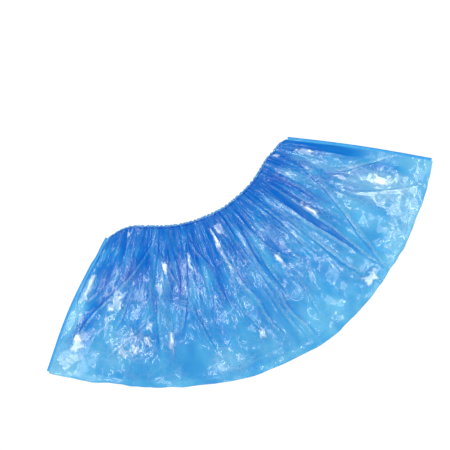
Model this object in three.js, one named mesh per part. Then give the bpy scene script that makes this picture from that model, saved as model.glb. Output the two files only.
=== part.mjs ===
// A disposable overshoe of thin blue film, relaxed and lying on its side, as it comes out of the pack.
// One sheet is folded along the sole, welded at both ends and gathered along its two free edges, where
// each edge is rolled round an elastic thread. The gathers pull the flat pouch into a fan.
// Millimetres. +X runs from heel to toe, +Y from the sole fold to the foot opening, and +Z up from the
// surface that the overshoe lies on. The origin is under the middle of its outline.

import * as THREE from "three";

// The film sheet
const SOLE_FOLD = 420; // length of the fold that makes the sole, from weld to weld
const HEM_LENGTH = 160; // length of each gathered hem, relaxed, without the drop at its ends
const PANEL_HEIGHT = 141; // from the sole fold to the gathered hem, at mid length
const END_DROP = 19; // the hem's two ends are pulled this much nearer to the sole
const WALL = 1; // thickness of the film's wall
const SOLE_CREASE = 1; // clear gap inside the sole fold

// The hollow for the foot
const MOUTH_GAP = 7; // clear height between the two hems at the middle of the opening
const LOFT = 10; // how far the upper panel swells above a straight line from sole to hem
const END_TAPER = 0.27; // share of the length over which the pouch swells from each weld

// The elastic threads and the hems rolled round them
const ELASTIC_DIAMETER = 1.2;
const HEM_CLEARANCE = 0.3; // between a thread and the film round it, and between the hems at the welds
const HEM_ROLL_DEGREES = 225; // how far the film turns round the thread

// The welds at heel and toe
const WELD_WIDTH = 2.5; // width of the band where the two layers are fused
const WELD_CLEARANCE = 0.3; // between the end of the hollow sheet and its weld

// The gathers and folds
const GATHERS = 20; // fine gathers along each hem
const GATHER_SWELLS = 3.7; // waves of deeper and shallower gathers along each hem
const UPPER_GATHER_DEPTH = 3.4; // height of the upper panel's gathers where they are deepest
const UPPER_GATHER_REACH = 0.42; // how far they run from the hem, as a share of the panel's height
const LOWER_GATHER_DEPTH = 1.8; // the same on the lower panel, which the surface presses flat
const LOWER_GATHER_REACH = 0.35;
const FOLD_HEIGHT = 4.2; // height of the tallest long fold on the upper panel
const HEM_WAVE = 0.7; // how far the gathers lift the rolled hems

// Fineness of the mesh
const STEPS_PER_GATHER = 4;
const ROLL_STEPS = 5;
const CREASE_STEPS = 3;
const THREAD_SIDES = 6;

// How far the outline stands in from its two circles, at shares of the length from heel to toe. The
// columns are shares of PANEL_HEIGHT.
const OUTLINE = [
  { along: 0, soleIn: 0.0, hemIn: 0.0 },
  { along: 0.05, soleIn: 0.02, hemIn: -0.005 },
  { along: 0.15, soleIn: 0.056, hemIn: 0.002 },
  { along: 0.3, soleIn: 0.05, hemIn: 0.004 },
  { along: 0.45, soleIn: 0.018, hemIn: 0.006 },
  { along: 0.6, soleIn: 0.0, hemIn: 0.018 },
  { along: 0.8, soleIn: 0.008, hemIn: 0.034 },
  { along: 0.93, soleIn: 0.008, hemIn: 0.03 },
  { along: 1, soleIn: 0.0, hemIn: 0.0 },
];

// The long folds of the upper panel. Each runs from hemAlong at the hem to footAlong where it dies out,
// reach is that place's distance from the hem as a share of the panel's height, rise is its height as a
// share of FOLD_HEIGHT, and width is its half width as a share of the sole fold.
const LONG_FOLDS = [
  { hemAlong: 0.07, footAlong: 0.05, reach: 0.8, rise: 0.45, width: 0.018 },
  { hemAlong: 0.2, footAlong: 0.06, reach: 0.92, rise: 0.95, width: 0.022 },
  { hemAlong: 0.19, footAlong: 0.23, reach: 0.86, rise: 0.6, width: 0.02 },
  { hemAlong: 0.28, footAlong: 0.33, reach: 0.84, rise: 0.8, width: 0.022 },
  { hemAlong: 0.39, footAlong: 0.43, reach: 0.62, rise: 1.0, width: 0.026 },
  { hemAlong: 0.48, footAlong: 0.54, reach: 0.93, rise: 0.85, width: 0.02 },
  { hemAlong: 0.58, footAlong: 0.61, reach: 0.9, rise: 0.9, width: 0.022 },
  { hemAlong: 0.7, footAlong: 0.71, reach: 0.8, rise: 0.75, width: 0.022 },
  { hemAlong: 0.83, footAlong: 0.73, reach: 0.88, rise: 0.7, width: 0.02 },
  { hemAlong: 0.94, footAlong: 0.77, reach: 0.93, rise: 1.0, width: 0.022 },
  { hemAlong: 0.97, footAlong: 0.96, reach: 0.72, rise: 0.5, width: 0.02 },
];

// Where the sheet's rows lie, as shares of the panel's height up from the sole, closer at the hem.
const UPPER_ROWS = [0.955, 0.9, 0.83, 0.74, 0.63, 0.5, 0.35, 0.2, 0.08];
const LOWER_ROWS = [0.12, 0.35, 0.6, 0.76, 0.88];

const { clamp, degToRad, lerp, smoothstep } = THREE.MathUtils;

const FAN = (SOLE_FOLD - HEM_LENGTH) / PANEL_HEIGHT; // angle that the gathers pull the pouch into
const SOLE_RADIUS = SOLE_FOLD / FAN; // from the centre of the fan to the sole fold
const HEM_RADIUS = SOLE_RADIUS - PANEL_HEIGHT;
const CREASE_RADIUS = (SOLE_CREASE + WALL) / 2; // to the middle of the wall
const ROLL_RADIUS = ELASTIC_DIAMETER / 2 + HEM_CLEARANCE + WALL / 2; // to the middle of the wall
const ROLL_OUTSIDE = ROLL_RADIUS + WALL / 2;
const LENGTH_STEPS = Math.round(GATHERS * STEPS_PER_GATHER);

// A column of a table as a smooth function of its along column.
function smoothColumn(table, column) {
  return (along) => {
    const last = table.length - 2;
    const after = table.findIndex((row) => row.along > along);
    const i = after < 0 ? last : clamp(after - 1, 0, last);
    const share = (along - table[i].along) / (table[i + 1].along - table[i].along);
    return lerp(table[i][column], table[i + 1][column], smoothstep(share, 0, 1));
  };
}

const soleIn = smoothColumn(OUTLINE, "soleIn");
const hemIn = smoothColumn(OUTLINE, "hemIn");

// How far a place along the length is from both welds: 0 at a weld and 1 where the pouch is full.
function fullness(along) {
  const fromWeld = Math.min(along, 1 - along);
  return smoothstep(fromWeld, 0, END_TAPER);
}

// The distance from the fan's centre to the outside of the sole fold.
function soleRadius(along) {
  return SOLE_RADIUS - PANEL_HEIGHT * soleIn(along);
}

// The distance from the fan's centre to the middle of the sole fold's bend.
function creaseRadius(along) {
  return soleRadius(along) - CREASE_RADIUS - WALL / 2;
}

// The distance from the fan's centre to the hem's thread. The ends drop towards the sole.
function hemRadius(along) {
  const fromMiddle = Math.abs(2 * along - 1);
  return HEM_RADIUS + END_DROP * Math.pow(fromMiddle, 8) + PANEL_HEIGHT * hemIn(along);
}

// How much longer the hem is at a place than it would be if it kept its distance from the fan's centre.
// A section cuts the rolled hem that much wider than it is.
function hemSlant(along) {
  const little = 1e-4;
  const change = (hemRadius(along + little) - hemRadius(along - little)) / (2 * little);
  return Math.hypot(1, change / (hemRadius(along) * FAN));
}

// A gather's height at a place along the hem, 0 to 1, each a little different from its neighbours.
function gather(along) {
  const wave = 0.5 - 0.5 * Math.cos(2 * Math.PI * GATHERS * along);
  const uneven = 0.75 + 0.25 * Math.sin(2 * Math.PI * GATHER_SWELLS * along + 1);
  return wave * uneven;
}

// The height of the long folds at a place on the upper panel.
function longFolds(along, up) {
  const fromHem = 1 - up;
  let height = 0;
  for (const fold of LONG_FOLDS) {
    const way = fromHem / fold.reach;
    if (way >= 1) continue;
    const ridge = lerp(fold.hemAlong, fold.footAlong, way);
    const away = Math.abs(along - ridge) / fold.width;
    if (away >= 1) continue;
    const crest = Math.cos((Math.PI / 2) * away) ** 2;
    const fade = smoothstep(fromHem, 0, 0.12) * Math.sqrt(1 - way);
    height = Math.max(height, FOLD_HEIGHT * fold.rise * crest * fade);
  }
  return height;
}

// How strong the fine gathers are at a height up the panel: they start under the hem and die out.
function gatherStrength(up, reach) {
  return smoothstep(up, 1 - reach, 1 - reach / 4) * smoothstep(1 - up, -0.01, 0.06);
}

// The middle of the lower panel's wall, which lies on the surface apart from its gathers.
function lowerHeight(along, up) {
  const gathered = LOWER_GATHER_DEPTH * gather(along) * gatherStrength(up, LOWER_GATHER_REACH);
  const lift = HEM_WAVE * gather(along) * smoothstep(up, 0.9, 1);
  return WALL / 2 + Math.max(gathered, lift);
}

// The height of the lower thread's centre above the surface.
function lowerThreadHeight(along) {
  return lowerHeight(along, 1) + ROLL_RADIUS;
}

// The same of the upper thread, which lies as far above the lower one as the mouth is open there.
function upperThreadHeight(along) {
  const mouth = lerp(HEM_CLEARANCE, MOUTH_GAP, fullness(along));
  return 3 * ROLL_OUTSIDE + HEM_WAVE + mouth + HEM_WAVE * gather(along);
}

// The middle of the upper panel's wall, from the top of the sole fold to the top of the rolled hem.
function upperHeight(along, up) {
  const full = fullness(along);
  const start = WALL / 2 + 2 * CREASE_RADIUS;
  const end = upperThreadHeight(along) + ROLL_RADIUS;
  const steepness = lerp(6, 1.2, full); // near a weld the panel lies flat and climbs only at the hem
  const swell = LOFT * full * Math.pow(Math.sin(Math.PI * up), 0.8);
  const gathered = UPPER_GATHER_DEPTH * gather(along) * gatherStrength(up, UPPER_GATHER_REACH);
  const folded = Math.max(longFolds(along, up), gathered) * lerp(0.35, 1, full);
  return lerp(start, end, Math.pow(up, steepness)) + swell + folded;
}

// Points of an arc in the plane of a section: distance from the fan's centre, and height.
function arc(centre, radii, fromDegrees, toDegrees, steps) {
  const points = [];
  for (let i = 0; i <= steps; i += 1) {
    const angle = degToRad(lerp(fromDegrees, toDegrees, i / steps));
    const fromCentre = new THREE.Vector2(Math.cos(angle), Math.sin(angle)).multiply(radii);
    points.push(fromCentre.add(centre));
  }
  return points;
}

// The middle of the film's wall in the section at a place along the length: from the free edge inside
// the upper hem, over the upper panel, round the sole fold and back to the lower hem's free edge.
function section(along) {
  const hem = hemRadius(along);
  const crease = creaseRadius(along);
  const upperThread = new THREE.Vector2(hem, upperThreadHeight(along));
  const lowerThread = new THREE.Vector2(hem, lowerThreadHeight(along));
  const foldCentre = new THREE.Vector2(crease, WALL / 2 + CREASE_RADIUS);
  const foldRadii = new THREE.Vector2(CREASE_RADIUS, CREASE_RADIUS);
  const rollRadii = new THREE.Vector2(ROLL_RADIUS * hemSlant(along), ROLL_RADIUS);
  const panel = (rows, height) =>
    rows.map((up) => new THREE.Vector2(lerp(crease, hem, up), height(along, up)));
  return [
    ...arc(upperThread, rollRadii, 90 + HEM_ROLL_DEGREES, 90, ROLL_STEPS),
    ...panel(UPPER_ROWS, upperHeight),
    ...arc(foldCentre, foldRadii, 90, -90, CREASE_STEPS),
    ...panel(LOWER_ROWS, lowerHeight),
    ...arc(lowerThread, rollRadii, 270, 270 - HEM_ROLL_DEGREES, ROLL_STEPS),
  ];
}

// A point of a section, in the part's frame, before the part is centred.
function place(along, point) {
  const angle = (along - 0.5) * FAN;
  return new THREE.Vector3(point.x * Math.sin(angle), -point.x * Math.cos(angle), point.y);
}

// The way from heel to toe at a section, square to it.
function lengthDirection(along) {
  const angle = (along - 0.5) * FAN;
  return new THREE.Vector3(Math.cos(angle), Math.sin(angle), 0);
}

// The way from one point to the next, averaged with the way from the one before.
function direction(before, here, after) {
  const way = new THREE.Vector3();
  if (before) way.add(here.clone().sub(before).normalize());
  if (after) way.add(after.clone().sub(here).normalize());
  return way.normalize();
}

// A mesh of those positions and triangles.
function meshGeometry(positions, index) {
  const geometry = new THREE.BufferGeometry();
  geometry.setAttribute("position", new THREE.Float32BufferAttribute(positions, 3));
  geometry.setIndex(index);
  geometry.computeVertexNormals();
  return geometry;
}

// A closed solid with that wall, half to each side of a grid of points. Its two end faces are flat and
// square to the ways given for them.
function thickSheet(grid, wall, startWay, endWay) {
  const columns = grid.length;
  const rows = grid[0].length;
  const endWays = { 0: startWay, [columns - 1]: endWay };
  const positions = [];
  for (const side of [0.5, -0.5]) {
    grid.forEach((line, i) =>
      line.forEach((point, j) => {
        const lengthways = endWays[i] ?? direction(grid[i - 1]?.[j], point, grid[i + 1]?.[j]);
        const across = direction(line[j - 1], point, line[j + 1]);
        const normal = across.cross(lengthways).normalize();
        positions.push(...point.clone().addScaledVector(normal, side * wall).toArray());
      }),
    );
  }
  const outer = (i, j) => i * rows + j;
  const inner = (i, j) => columns * rows + i * rows + j;
  const index = [];
  const quad = (a, b, c, d) => index.push(a, b, c, a, c, d);
  for (let i = 0; i + 1 < columns; i += 1) {
    for (let j = 0; j + 1 < rows; j += 1) {
      quad(outer(i, j), outer(i, j + 1), outer(i + 1, j + 1), outer(i + 1, j));
      quad(inner(i, j), inner(i + 1, j), inner(i + 1, j + 1), inner(i, j + 1));
    }
    quad(outer(i, 0), outer(i + 1, 0), inner(i + 1, 0), inner(i, 0));
    quad(outer(i, rows - 1), inner(i, rows - 1), inner(i + 1, rows - 1), outer(i + 1, rows - 1));
  }
  const last = columns - 1;
  for (let j = 0; j + 1 < rows; j += 1) {
    quad(outer(0, j), inner(0, j), inner(0, j + 1), outer(0, j + 1));
    quad(outer(last, j), outer(last, j + 1), inner(last, j + 1), inner(last, j));
  }
  return meshGeometry(positions, index);
}

// The whole sheet: both panels, the sole fold and the two rolled hems.
function filmSheet() {
  const grid = [];
  for (let i = 0; i <= LENGTH_STEPS; i += 1) {
    const along = i / LENGTH_STEPS;
    grid.push(section(along).map((point) => place(along, point)));
  }
  return thickSheet(grid, WALL, lengthDirection(0), lengthDirection(1));
}

// The centre line of an elastic thread, in the middle of a rolled hem. It is divided where the sheet
// is, rather than into equal lengths, so that the thread keeps clear of the film round it.
class ThreadLine extends THREE.Curve {
  constructor(heightAt) {
    super();
    this.heightAt = heightAt;
  }

  // The thread stops short of the ends by its own radius, because its end faces lie aslant.
  getPoint(share, target = new THREE.Vector3()) {
    const short = ELASTIC_DIAMETER / 2 / (HEM_RADIUS * FAN);
    const along = lerp(short, 1 - short, share);
    return target.copy(place(along, new THREE.Vector2(hemRadius(along), this.heightAt(along))));
  }

  getPointAt(share, target) {
    return this.getPoint(share, target);
  }

  getTangentAt(share, target) {
    return this.getTangent(share, target);
  }
}

// An elastic thread, whose centre has the height that heightAt gives.
function elasticThread(heightAt) {
  const round = new THREE.Shape().absarc(0, 0, ELASTIC_DIAMETER / 2, 0, 2 * Math.PI);
  return new THREE.ExtrudeGeometry(round, {
    steps: LENGTH_STEPS,
    curveSegments: THREAD_SIDES / 2, // of each half of the circle
    extrudePath: new ThreadLine(heightAt),
  });
}

// The fused band beyond one end of the sheet, as high as the sheet is there.
function weld(along) {
  const toToe = lengthDirection(along);
  const hem = hemRadius(along);
  const hemTop = upperThreadHeight(along) + ROLL_OUTSIDE;
  const stations = [
    { radius: hem - ROLL_OUTSIDE, top: hemTop },
    { radius: hem, top: hemTop },
    ...UPPER_ROWS.map((up) => ({
      radius: lerp(creaseRadius(along), hem, up),
      top: upperHeight(along, up) + WALL / 2,
    })),
    { radius: soleRadius(along), top: SOLE_CREASE + 2 * WALL },
  ];
  const beyond = (WELD_CLEARANCE + WELD_WIDTH / 2) * (along === 0 ? -1 : 1);
  const centreLine = stations.map(({ radius, top }) => ({
    foot: place(along, new THREE.Vector2(radius, 0)).addScaledVector(toToe, beyond),
    top,
  }));
  return standingBand(centreLine, toToe, WELD_WIDTH);
}

// A closed solid that stands on the surface: a band of that width, with a height at each of its points.
function standingBand(centreLine, across, width) {
  const positions = [];
  for (const { foot, top } of centreLine) {
    for (const side of [-0.5, 0.5]) {
      const edge = foot.clone().addScaledVector(across, side * width);
      positions.push(edge.x, edge.y, top, edge.x, edge.y, 0);
    }
  }
  const ring = [0, 1, 3, 2]; // near top, near foot, far foot, far top
  const corner = (i, k) => i * ring.length + k;
  const index = [];
  for (let i = 0; i + 1 < centreLine.length; i += 1) {
    ring.forEach((k, n) => {
      const next = ring[(n + 1) % ring.length];
      index.push(corner(i, k), corner(i, next), corner(i + 1, next));
      index.push(corner(i, k), corner(i + 1, next), corner(i + 1, k));
    });
  }
  const [a, b, c, d] = ring.map((k) => corner(0, k));
  const [e, f, g, h] = ring.map((k) => corner(centreLine.length - 1, k));
  index.push(a, d, c, a, c, b, e, f, g, e, g, h);
  return meshGeometry(positions, index);
}

const film = new THREE.MeshStandardMaterial({ color: 0x3f9be6, roughness: 0.3, metalness: 0 });
const fused = new THREE.MeshStandardMaterial({ color: 0x8cc4f2, roughness: 0.35, metalness: 0 });
const elastic = new THREE.MeshStandardMaterial({ color: 0xb9dcf7, roughness: 0.6, metalness: 0 });

function piece(name, geometry, material) {
  const mesh = new THREE.Mesh(geometry, material);
  mesh.name = name;
  return mesh;
}

const overshoe = new THREE.Group();
overshoe.add(piece("film_sheet", filmSheet(), film));
overshoe.add(piece("heel_weld", weld(0), fused));
overshoe.add(piece("toe_weld", weld(1), fused));
overshoe.add(piece("upper_elastic", elasticThread(upperThreadHeight), elastic));
overshoe.add(piece("lower_elastic", elasticThread(lowerThreadHeight), elastic));

// The origin goes under the middle of the outline.
const box = new THREE.Box3().setFromObject(overshoe);
const middle = box.getCenter(new THREE.Vector3());
overshoe.position.set(-middle.x, -middle.y, -box.min.z);

export default overshoe;
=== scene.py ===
"""Looks of a disposable shoe cover: thin blue film, gathered round its mouth and lying on its side.

The film is a fan: shares run along it from the heel weld to the toe weld, and across it from the
fold along the sole to the hem round the mouth. All lengths are in metres, in the frame of the CAD.
"""

import logging
import math
from dataclasses import dataclass
from enum import Enum

import bpy
import numpy as np
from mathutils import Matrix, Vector

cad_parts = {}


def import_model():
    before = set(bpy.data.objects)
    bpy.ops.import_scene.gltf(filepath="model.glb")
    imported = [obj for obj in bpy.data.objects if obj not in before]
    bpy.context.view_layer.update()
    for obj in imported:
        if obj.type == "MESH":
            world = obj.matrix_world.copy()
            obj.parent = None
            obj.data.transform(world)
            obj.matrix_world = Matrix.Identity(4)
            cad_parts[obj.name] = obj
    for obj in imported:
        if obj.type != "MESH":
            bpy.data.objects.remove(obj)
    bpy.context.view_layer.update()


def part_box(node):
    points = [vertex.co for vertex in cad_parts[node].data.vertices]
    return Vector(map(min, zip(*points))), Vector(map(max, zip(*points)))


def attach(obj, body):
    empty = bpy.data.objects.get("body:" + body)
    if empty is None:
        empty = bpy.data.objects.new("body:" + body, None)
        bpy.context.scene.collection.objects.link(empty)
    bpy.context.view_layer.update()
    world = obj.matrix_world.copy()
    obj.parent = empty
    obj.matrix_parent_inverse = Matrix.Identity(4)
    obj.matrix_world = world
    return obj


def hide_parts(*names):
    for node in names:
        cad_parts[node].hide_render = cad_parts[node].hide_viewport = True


Array = np.ndarray
Socket = bpy.types.NodeSocket
MM = 0.001
log = logging.getLogger("shoe_cover")


class Panel(Enum):
    """The two layers of the folded film."""

    UPPER = "upper"
    LOWER = "lower"


class End(Enum):
    """The two closed ends of the film, as shares along it."""

    HEEL = 0.0
    TOE = 1.0


def smoothstep(value: Array, low: float, high: float) -> Array:
    """Rises smoothly from 0 at low to 1 at high."""
    share = np.clip((value - low) / (high - low), 0, 1)
    return share * share * (3 - 2 * share)


def lerp(start: Array, end: Array, share: Array) -> Array:
    """Goes in a straight line from start to end."""
    return start + (end - start) * share


def from_rows(kind: type, *rows: tuple) -> tuple:
    """Makes one object of a kind from each row of values."""
    return tuple(kind(*row) for row in rows)


class Noise:
    """Seeded random values on lattices, the same in every run."""

    SIZE = 256

    def __init__(self, seed: int) -> None:
        """Draws the values.

        Args:
            seed: Number that fixes the values.
        """
        self.values = np.random.default_rng(seed).uniform(-1, 1, (self.SIZE, self.SIZE))

    def at(self, column: Array, row: Array) -> Array:
        """Gives the random values of whole lattice places."""
        return self.values[column.astype(int) % self.SIZE, row.astype(int) % self.SIZE]

    def smooth(self, x: Array, y: Array) -> Array:
        """Interpolates softly on a square lattice.

        Args:
            x: Places across, in lattice cells.
            y: Places up, in lattice cells.

        Returns:
            Values from -1 to 1.
        """
        i, j = np.floor(x), np.floor(y)
        p, q = smoothstep(x - i, 0, 1), smoothstep(y - j, 0, 1)
        low = lerp(self.at(i, j), self.at(i + 1, j), p)
        high = lerp(self.at(i, j + 1), self.at(i + 1, j + 1), p)
        return lerp(low, high, q)

    def facets(self, x: Array, y: Array) -> Array:
        """Interpolates flatly on a lattice of triangles, which gives creases between flat facets.

        Args:
            x: Places across, in lattice cells.
            y: Places up, in lattice cells.

        Returns:
            Values from -1 to 1.
        """
        skew = (x + y) * 0.366
        x, y = x + skew, y + skew
        i, j = np.floor(x), np.floor(y)
        p, q = x - i, y - j
        wide = p > q
        side = self.at(i + wide, j + ~wide)
        most, least = np.maximum(p, q), np.minimum(p, q)
        return (1 - most) * self.at(i, j) + (most - least) * side + least * self.at(i + 1, j + 1)


@dataclass(frozen=True)
class Softbox:
    """One large lamp, placed round the middle of the film.

    Angles are in degrees, lengths in metres and the power in watts.
    """

    azimuth: float
    elevation: float
    size: float
    power: float
    distance: float = 1.2

    def place(self) -> Array:
        """Where the lamp is.

        Returns:
            The place in metres.
        """
        turn, up = math.radians(self.azimuth), math.radians(self.elevation)
        level = self.distance * math.cos(up)
        return np.array([level * math.cos(turn), level * math.sin(turn), self.distance * math.sin(up)])


LAMPS = (
    Softbox(75, 68, 0.3, 3.2),
    Softbox(165, 60, 0.3, 3.2),
    Softbox(250, 66, 0.24, 2.2),
    Softbox(345, 58, 0.3, 3.2),
    Softbox(125, 63, 0.55, 4.6),
    Softbox(310, 63, 0.55, 4.6),
)

# The view's middle on the ground, and the place overhead that the flat spots mirror the lamps to.
VIEW_MIDDLE = (0.0054, 0.0429)
VIEWER = np.array([*VIEW_MIDDLE, 0.879])


@dataclass(frozen=True)
class FanSizes:
    """Sizes of the folded film: those of the CAD part, and how far its ends bow."""

    sole_fold: float = 420 * MM
    hem_length: float = 160 * MM
    panel_height: float = 141 * MM
    end_drop: float = 19 * MM
    wall: float = 1 * MM
    sole_crease: float = 1 * MM
    mouth_gap: float = 7 * MM
    loft: float = 10 * MM
    end_taper: float = 0.27
    roll_radius: float = 1.4 * MM
    hem_clearance: float = 0.3 * MM
    hem_wave: float = 0.7 * MM
    gathers: int = 20
    gather_swells: float = 3.7
    lower_gather_depth: float = 1.8 * MM
    lower_gather_reach: float = 0.35
    heel_bow: float = 4 * MM
    toe_bow: float = 1.5 * MM

    @property
    def fan(self) -> float:
        """The whole angle of the fan, in radians."""
        return (self.sole_fold - self.hem_length) / self.panel_height

    @property
    def sole_radius(self) -> float:
        """Radius of the fold along the sole."""
        return self.sole_fold / self.fan

    @property
    def hem_radius(self) -> float:
        """Radius of the hem round the mouth."""
        return self.sole_radius - self.panel_height

    @property
    def roll_outside(self) -> float:
        """Radius of the outside of the rolled hem."""
        return self.roll_radius + self.wall / 2


class Fan:
    """Turns shares along and across the film into places in the part's frame."""

    # Shares along the film, then how far its sole fold and its hem lie inside and outside a true
    # fan's, as shares of the panel's height.
    OUTLINE = (
        (0.0, 0.0, 0.0), (0.05, 0.02, -0.005), (0.15, 0.056, 0.002), (0.3, 0.05, 0.004),
        (0.45, 0.018, 0.006), (0.6, 0.0, 0.018), (0.8, 0.008, 0.034), (0.93, 0.008, 0.03),
        (1.0, 0.0, 0.0),
    )
    SOLE_IN, HEM_OUT = 1, 2
    SAMPLES = 801
    SLOW_RIPPLE, QUICK_RIPPLE = 0.9 * MM, 0.55 * MM

    def __init__(self, sizes: FanSizes) -> None:
        """Finds the fan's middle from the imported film.

        Args:
            sizes: Sizes of the film.
        """
        self.sizes, self.noise = sizes, Noise(61)
        low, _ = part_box("film_sheet")
        along = np.linspace(0, 1, self.SAMPLES)
        reach = self.sole_radius(along) * np.cos((along - 0.5) * sizes.fan)
        self.middle = low[1] + float(reach.max())

    def outline(self, along: Array, column: int) -> Array:
        """Interpolates a column of the outline's table, as a length.

        Args:
            along: Shares along the film.
            column: Which column of the table.

        Returns:
            Lengths.
        """
        rows = self.OUTLINE
        value = np.zeros_like(along)
        for before, after in zip(rows, rows[1:]):
            part = smoothstep(along, before[0], after[0])
            value = value + (after[column] - before[column]) * part
        return value * self.sizes.panel_height

    def sole_radius(self, along: Array) -> Array:
        """Radius of the fold along the sole."""
        return self.sizes.sole_radius - self.outline(along, self.SOLE_IN)

    def ripple(self, along: Array) -> Array:
        """Small unevenness of the fold along the sole, as a length.

        Args:
            along: Shares along the film.

        Returns:
            Lengths.
        """
        level = np.full_like(along, 0.5)
        slow = self.SLOW_RIPPLE * self.noise.smooth(along * 17, level)
        quick = self.QUICK_RIPPLE * self.noise.facets(along * 46, level + 4)
        return (slow + quick) * smoothstep(np.minimum(along, 1 - along), 0, 0.03)

    def hem_radius(self, along: Array) -> Array:
        """Radius of the hem, which drops towards both ends."""
        drop = self.sizes.end_drop * np.abs(2 * along - 1) ** 8
        return self.sizes.hem_radius + drop + self.outline(along, self.HEM_OUT)

    def radius(self, along: Array, across: Array) -> Array:
        """Radius at a share across the film.

        Args:
            along: Shares along the film.
            across: Shares across the film.

        Returns:
            Radii in metres.
        """
        inside = self.sizes.sole_crease + self.sizes.wall / 2
        crease = self.sole_radius(along) + self.ripple(along) - inside
        return lerp(crease, self.hem_radius(along), across)

    def full(self, along: Array) -> Array:
        """How far the panels have parted: 0 at the ends, 1 in the middle."""
        return smoothstep(np.minimum(along, 1 - along), 0, self.sizes.end_taper)

    def bow(self, along: Array, across: Array) -> Array:
        """How far the ends bow outward, as a length along the arc.

        Args:
            along: Shares along the film.
            across: Shares across the film.

        Returns:
            Lengths, positive towards the toe.
        """
        s = self.sizes
        belly = np.sin(np.pi * np.clip(across, 0, 1)) ** 1.2
        heel = smoothstep(1 - along, 0.86, 1.0) * s.heel_bow
        toe = smoothstep(along, 0.9, 1.0) * s.toe_bow
        return (toe - heel) * belly

    def place(self, along: Array, radius: Array, height: Array, shift: Array = 0.0) -> Array:
        """Gives points in the part's frame.

        Args:
            along: Shares along the film.
            radius: Radii.
            height: Heights over the floor.
            shift: Lengths by which the points move along the arc.

        Returns:
            Points, with x, y and z last.
        """
        angle = (along - 0.5) * self.sizes.fan + shift / radius
        return np.stack([radius * np.sin(angle), self.middle - radius * np.cos(angle), height], axis=-1)


@dataclass(frozen=True)
class FoldLine:
    """One long fold: a leaning ridge along a line, with film laid double on its low side.

    Its points are shares along and across the film. Its rise, the widths of its near and far sides
    and its band are in millimetres.
    """

    points: tuple
    rise: float
    near: float
    far: float
    lean: float = 1.0
    layers: float = 0.5
    band: float = 4.0
    fade_foot: float = 0.12
    fade_hem: float = 0.1

    def middle(self, across: Array) -> Array:
        """Where the crest runs, as shares along the film.

        Args:
            across: Shares across the film.

        Returns:
            Shares along the film.
        """
        places = sorted((up, along) for along, up in self.points)
        ups, alongs = [p[0] for p in places], [p[1] for p in places]
        if len(places) == 2:
            return np.interp(across, ups, alongs)
        curve = np.polyfit(ups, alongs, 2)
        return np.polyval(curve, np.clip(across, ups[0], ups[-1]))

    def strength(self, across: Array) -> Array:
        """Fades the fold in and out at its ends.

        Args:
            across: Shares across the film.

        Returns:
            Values from 0 to 1.
        """
        low, high = min(p[1] for p in self.points), max(p[1] for p in self.points)
        foot = smoothstep(across, low - self.fade_foot / 2, low + self.fade_foot)
        return foot * smoothstep(-across, -high - self.fade_hem, -high + self.fade_hem / 2)

    def ridge(self, distance: Array, across: Array) -> Array:
        """Height of the ridge.

        Args:
            distance: Arc lengths from the crest, positive towards the toe.
            across: Shares across the film.

        Returns:
            Heights in metres.
        """
        width = np.where(distance < 0, self.near, self.far) * MM
        share = np.clip(1 - np.abs(distance) / width, 0, 1)
        return self.rise * MM * share ** 1.35 * self.strength(across)

    def doubled(self, distance: Array, across: Array) -> Array:
        """Extra layers of film beside the crest, on the side that it leans to.

        Args:
            distance: Arc lengths from the crest, positive towards the toe.
            across: Shares across the film.

        Returns:
            Numbers of layers.
        """
        toward = distance * math.copysign(1, self.lean) / (self.band * MM)
        inside = smoothstep(toward, -0.12, 0.12) * smoothstep(-toward, -1.15, -0.55)
        return self.layers * inside * self.strength(across)


@dataclass(frozen=True)
class Facet:
    """A small flat place in the film, tilted so that it mirrors a lamp to a viewer overhead.

    Its place and half sizes are shares along and across the film. Its lamp is a place in LAMPS.
    """

    ROUGH, ROUGHER = Noise(31), Noise(32)

    along: float
    across: float
    half_along: float
    half_across: float
    lamp: int

    def share(self, along: Array, across: Array) -> Array:
        """How much of the film there lies in the facet, from 0 to 1.

        Args:
            along: Shares along the film.
            across: Shares across the film.

        Returns:
            Values from 0 to 1.
        """
        x, y = (along - self.along) / self.half_along, (across - self.across) / self.half_across
        away = np.abs(0.8 * x + 0.45 * y) + np.abs(0.6 * y - 0.5 * x)
        ragged = 0.5 * self.ROUGH.smooth(along * 130, across * 38)
        ragged = ragged + 0.25 * self.ROUGHER.smooth(along * 330, across * 95)
        return smoothstep(ragged - away, -1.15, -0.75)


@dataclass(frozen=True)
class Pleats:
    """One size of the gathers that fan out from the hem.

    The count is for the whole film, the depth in metres, the reach a share across the film, and the
    wander in gathers.
    """

    OFF_MIDDLE = 0.32
    SHARPNESS = 1.25
    UNEVEN_REACH = 0.45

    count: float
    depth: float
    reach: float
    wander: float
    seed: int

    def wave(self, along: Array, across: Array) -> Array:
        """Sharp uneven waves from 0 to 1, whose crests wander.

        Args:
            along: Shares along the film.
            across: Shares across the film.

        Returns:
            Values from 0 to 1.
        """
        noise = Noise(self.seed)
        wander = self.wander * noise.smooth(along * self.count * 0.37, across * 3.1 + 5)
        turn = self.count * along + wander
        share = turn - np.floor(turn)
        peak = 0.5 + self.OFF_MIDDLE * noise.smooth(np.floor(turn), np.full_like(turn, 3.0))
        rise = np.where(share < peak, share / peak, (1 - share) / (1 - peak))
        return rise ** self.SHARPNESS

    def strength(self, along: Array, across: Array) -> Array:
        """How strong the waves are: full at the hem, gone beyond their uneven reach.

        Args:
            along: Shares along the film.
            across: Shares across the film.

        Returns:
            Values from 0 to 1.
        """
        noise = Noise(self.seed + 1)
        uneven = noise.smooth(along * self.count * 0.8, np.full_like(along, 1.5))
        reach = np.clip(self.reach * (1 + self.UNEVEN_REACH * uneven), 0.05, 1.4)
        loud = 0.72 + 0.28 * noise.smooth(along * self.count * 0.5 + 9, across * 2.2)
        return smoothstep(across, 1 - reach, 1 - reach * 0.25) * loud


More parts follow.
